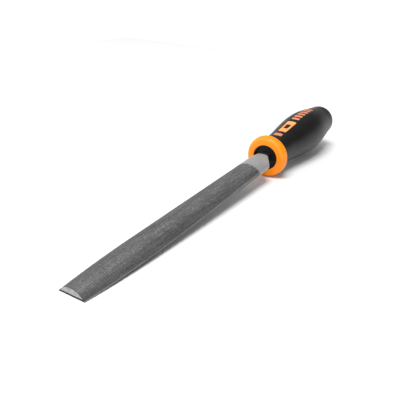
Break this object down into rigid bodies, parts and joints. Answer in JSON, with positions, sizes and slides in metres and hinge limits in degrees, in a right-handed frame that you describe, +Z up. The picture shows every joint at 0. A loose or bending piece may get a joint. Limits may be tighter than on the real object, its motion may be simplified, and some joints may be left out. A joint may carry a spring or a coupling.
{
  "type": "wood rasp",
  "caption": "Half-round rasp with a tanged steel blade in a black soft-grip handle with an orange collar and inlays.",
  "frame": {"origin": "centre of the bounding box at its bottom: the surface that the tool lies on, under the middle of its length", "axes": "+X from the tip towards the butt, +Y to the tool's left, +Z up; the tool lies flat side down on its tip edge and its collar, so the blade rises 3.7 degrees towards the handle"},
  "size_m": [0.3177, 0.0346, 0.0379],
  "materials": {
    "blade_steel": "hardened steel, dark and finely toothed over the cut, lighter satin on the plain shank and the tip",
    "core_plastic": "matt black, hard",
    "collar_plastic": "satin orange, smooth",
    "grip_rubber": "matt black, soft touch with a fine grain",
    "inlay_plastic": "matt pale orange"
  },
  "bodies": {
    "root": {"blade": "blade_steel", "handle_core": "core_plastic", "collar": "collar_plastic", "grip": "grip_rubber", "inlay_bar": "inlay_plastic", "inlay_frame": "inlay_plastic", "inlay_stripe_1": "inlay_plastic", "inlay_stripe_2": "inlay_plastic", "inlay_stripe_3": "inlay_plastic", "inlay_stripe_4": "inlay_plastic", "inlay_stripe_5": "inlay_plastic", "inlay_stripe_6": "inlay_plastic"}
  },
  "joints": []
}
